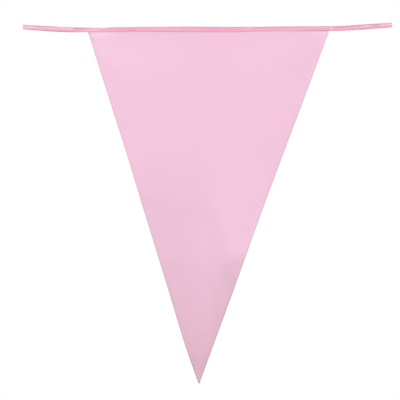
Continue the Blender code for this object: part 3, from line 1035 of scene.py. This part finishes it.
# the paler pink paints highlights and whitened bends, the deeper pink painted shade
PENNANT_HIGHLIGHT_AND_MILKY_PINK = (0.930, 0.740, 0.840, 1.0)
PENNANT_SHADE_AND_DEEP_PINK = (0.930, 0.520, 0.690, 1.0)
# painted shade: a greyer pink along the cut edge, and a darker one where the film leans back low down
CUT_EDGE_SHADE_PINK = (0.700, 0.535, 0.600, 1.0)
LOW_EDGE_SHADE_PINK = (0.580, 0.460, 0.510, 1.0)
CUT_EDGE_WIDTH = 0.0020
# painted shade: grey for the shaded side of the curled left corner
CURL_SHADE_GREY = (0.660, 0.600, 0.640, 1.0)
PENNANT_GRAIN = {"Line Pitch": 0.006, "Line Stretch": 45.0, "Cloud Size": 0.045, "Dent Size": 0.006}
PENNANT_ROUGHNESS, PENNANT_ROUGHNESS_CHANGE = 0.34, 0.14
PENNANT_THROUGH = 0.22
PENNANT_RELIEF = 0.00006


def pennant_looks(tree, flat_film):
    """Pale pink with faint lines and clouds, then a warmer painted shade low down, the marks of painted
    light and creases, and a greyer painted shade along the cut edge and on the curled corner. The thicker
    pink's share is the mean of the lines and the clouds."""
    film = place_group(tree, film_surface, {"Vector": flat_film, **PENNANT_GRAIN})
    uneven = maths(tree, "ADD", film.outputs["Lines"], film.outputs["Clouds"])
    share = maths(tree, "MULTIPLY", uneven, 0.5)
    tinted = mix_colours(tree, share, PENNANT_PINK, PENNANT_THICK_PINK)
    low_down = stored(tree, "lean_share")
    lean_shaded = mix_colours(tree, low_down, tinted, PENNANT_LEAN_SHADE_PINK)
    marked_pink = with_painted_light_and_creases(tree, lean_shaded, PENNANT_HIGHLIGHT_AND_MILKY_PINK, PENNANT_SHADE_AND_DEEP_PINK)
    edge_shade_pink = mix_colours(tree, low_down, CUT_EDGE_SHADE_PINK, LOW_EDGE_SHADE_PINK)
    edge_shaded = near(tree, "edge_distance", CUT_EDGE_WIDTH, marked_pink, edge_shade_pink)
    colour = mix_colours(tree, stored(tree, "curl_shade"), edge_shaded, CURL_SHADE_GREY)
    change = (PENNANT_ROUGHNESS_CHANGE, PENNANT_ROUGHNESS)
    roughness = maths(tree, "MULTIPLY_ADD", film.outputs["Clouds"], *change)
    return colour, roughness, film.outputs["Height"]


dress(
    pennant,
    film_material("pennant_film", PENNANT_THROUGH, PENNANT_THROUGH_PINK, PENNANT_RELIEF, pennant_looks),
)

# %% [markdown]
# The tape has two layers on its free ends and three over the pennant, so from the pennant's single layer the
# pink deepens in two steps. The fold and the cut edges are painted darker and greyer still. That is partly
# the film's layers seen edge on, and partly painted shade where the flattened strip turns away from the
# light. Its surface is glossier and its die lines are closer, which makes the streaks along it. Real
# see-through layers would add up by themselves, but they make the picture noisy and slow, so the number of
# layers is a mask instead.

# %% Tape material
TWO_LAYERS_PINK = (0.960, 0.440, 0.625, 1.0)
THREE_LAYERS_PINK = (0.948, 0.414, 0.612, 1.0)
TAPE_THROUGH_PINK = (0.945, 0.435, 0.618, 1.0)
# the paler pink paints the tape's highlights, whitened bends and die-line streaks, the deeper pink painted
# shade
TAPE_HIGHLIGHT_AND_MILKY_PINK = (0.985, 0.720, 0.820, 1.0)
TAPE_SHADE_AND_DEEP_PINK = (0.940, 0.300, 0.530, 1.0)
# painted shade: the fold line and the tape's cut edges are drawn in darker, greyer pinks, partly also for
# the layers seen edge on
FOLD_SHADE_PINK = (0.560, 0.290, 0.390, 1.0)
FOLD_WIDTH = 0.0024
TAPE_EDGE_SHADE_PINK = (0.890, 0.425, 0.590, 1.0)
TAPE_EDGE_WIDTH = 0.0012
LAYER_STEEPNESS = 1200.0  # for each metre: the third layer's edge shows over 0.8 mm
LAYER_MIDDLE = 0.5  # the third layer's share right on the pennant's side
TAPE_GRAIN = {"Line Pitch": 0.0008, "Line Stretch": 30.0, "Cloud Size": 0.012, "Dent Size": 0.003}
TAPE_STREAKS = 0.22  # how far the lines turn the pink milky
TAPE_ROUGHNESS, TAPE_ROUGHNESS_CHANGE = 0.16, 0.22
TAPE_THROUGH = 0.15
TAPE_RELIEF = 0.00010


def tape_looks(tree, flat_film):
    """A deep pink by the number of layers, streaked, with painted shade at the fold and the cut edges, and
    the marks of painted light and creases, with a streaky gloss. The third layer's share is a straight line
    across the pennant's side, kept from 0 to 1."""
    film = place_group(tree, film_surface, {"Vector": flat_film, **TAPE_GRAIN})
    inside = maths(tree, "MULTIPLY_ADD", stored(tree, "pennant_inside"), LAYER_STEEPNESS, LAYER_MIDDLE)
    plain = mix_colours(tree, clamped(tree, inside), TWO_LAYERS_PINK, THREE_LAYERS_PINK)
    streaks = maths(tree, "MULTIPLY", film.outputs["Lines"], TAPE_STREAKS)
    streaked = mix_colours(tree, streaks, plain, TAPE_HIGHLIGHT_AND_MILKY_PINK)
    folded = near(tree, "fold_distance", FOLD_WIDTH, streaked, FOLD_SHADE_PINK)
    edge_shaded = near(tree, "edge_distance", TAPE_EDGE_WIDTH, folded, TAPE_EDGE_SHADE_PINK)
    colour = with_painted_light_and_creases(tree, edge_shaded, TAPE_HIGHLIGHT_AND_MILKY_PINK, TAPE_SHADE_AND_DEEP_PINK)
    change = (TAPE_ROUGHNESS_CHANGE, TAPE_ROUGHNESS)
    roughness = maths(tree, "MULTIPLY_ADD", film.outputs["Lines"], *change)
    return colour, roughness, film.outputs["Height"]


dress(tape, film_material("tape_film", TAPE_THROUGH, TAPE_THROUGH_PINK, TAPE_RELIEF, tape_looks))

# %% [markdown]
# ## Hang the pieces on the root body
# Each film piece stands for its solid: it rides on the root body, and the solid's own mesh is hidden.

for piece, node, slot in ((pennant, "pennant", "pennant_film"), (tape, "header_tape", "tape_film")):
    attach(piece, "root")
    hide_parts(node)
print("Both pieces ride on the root body")
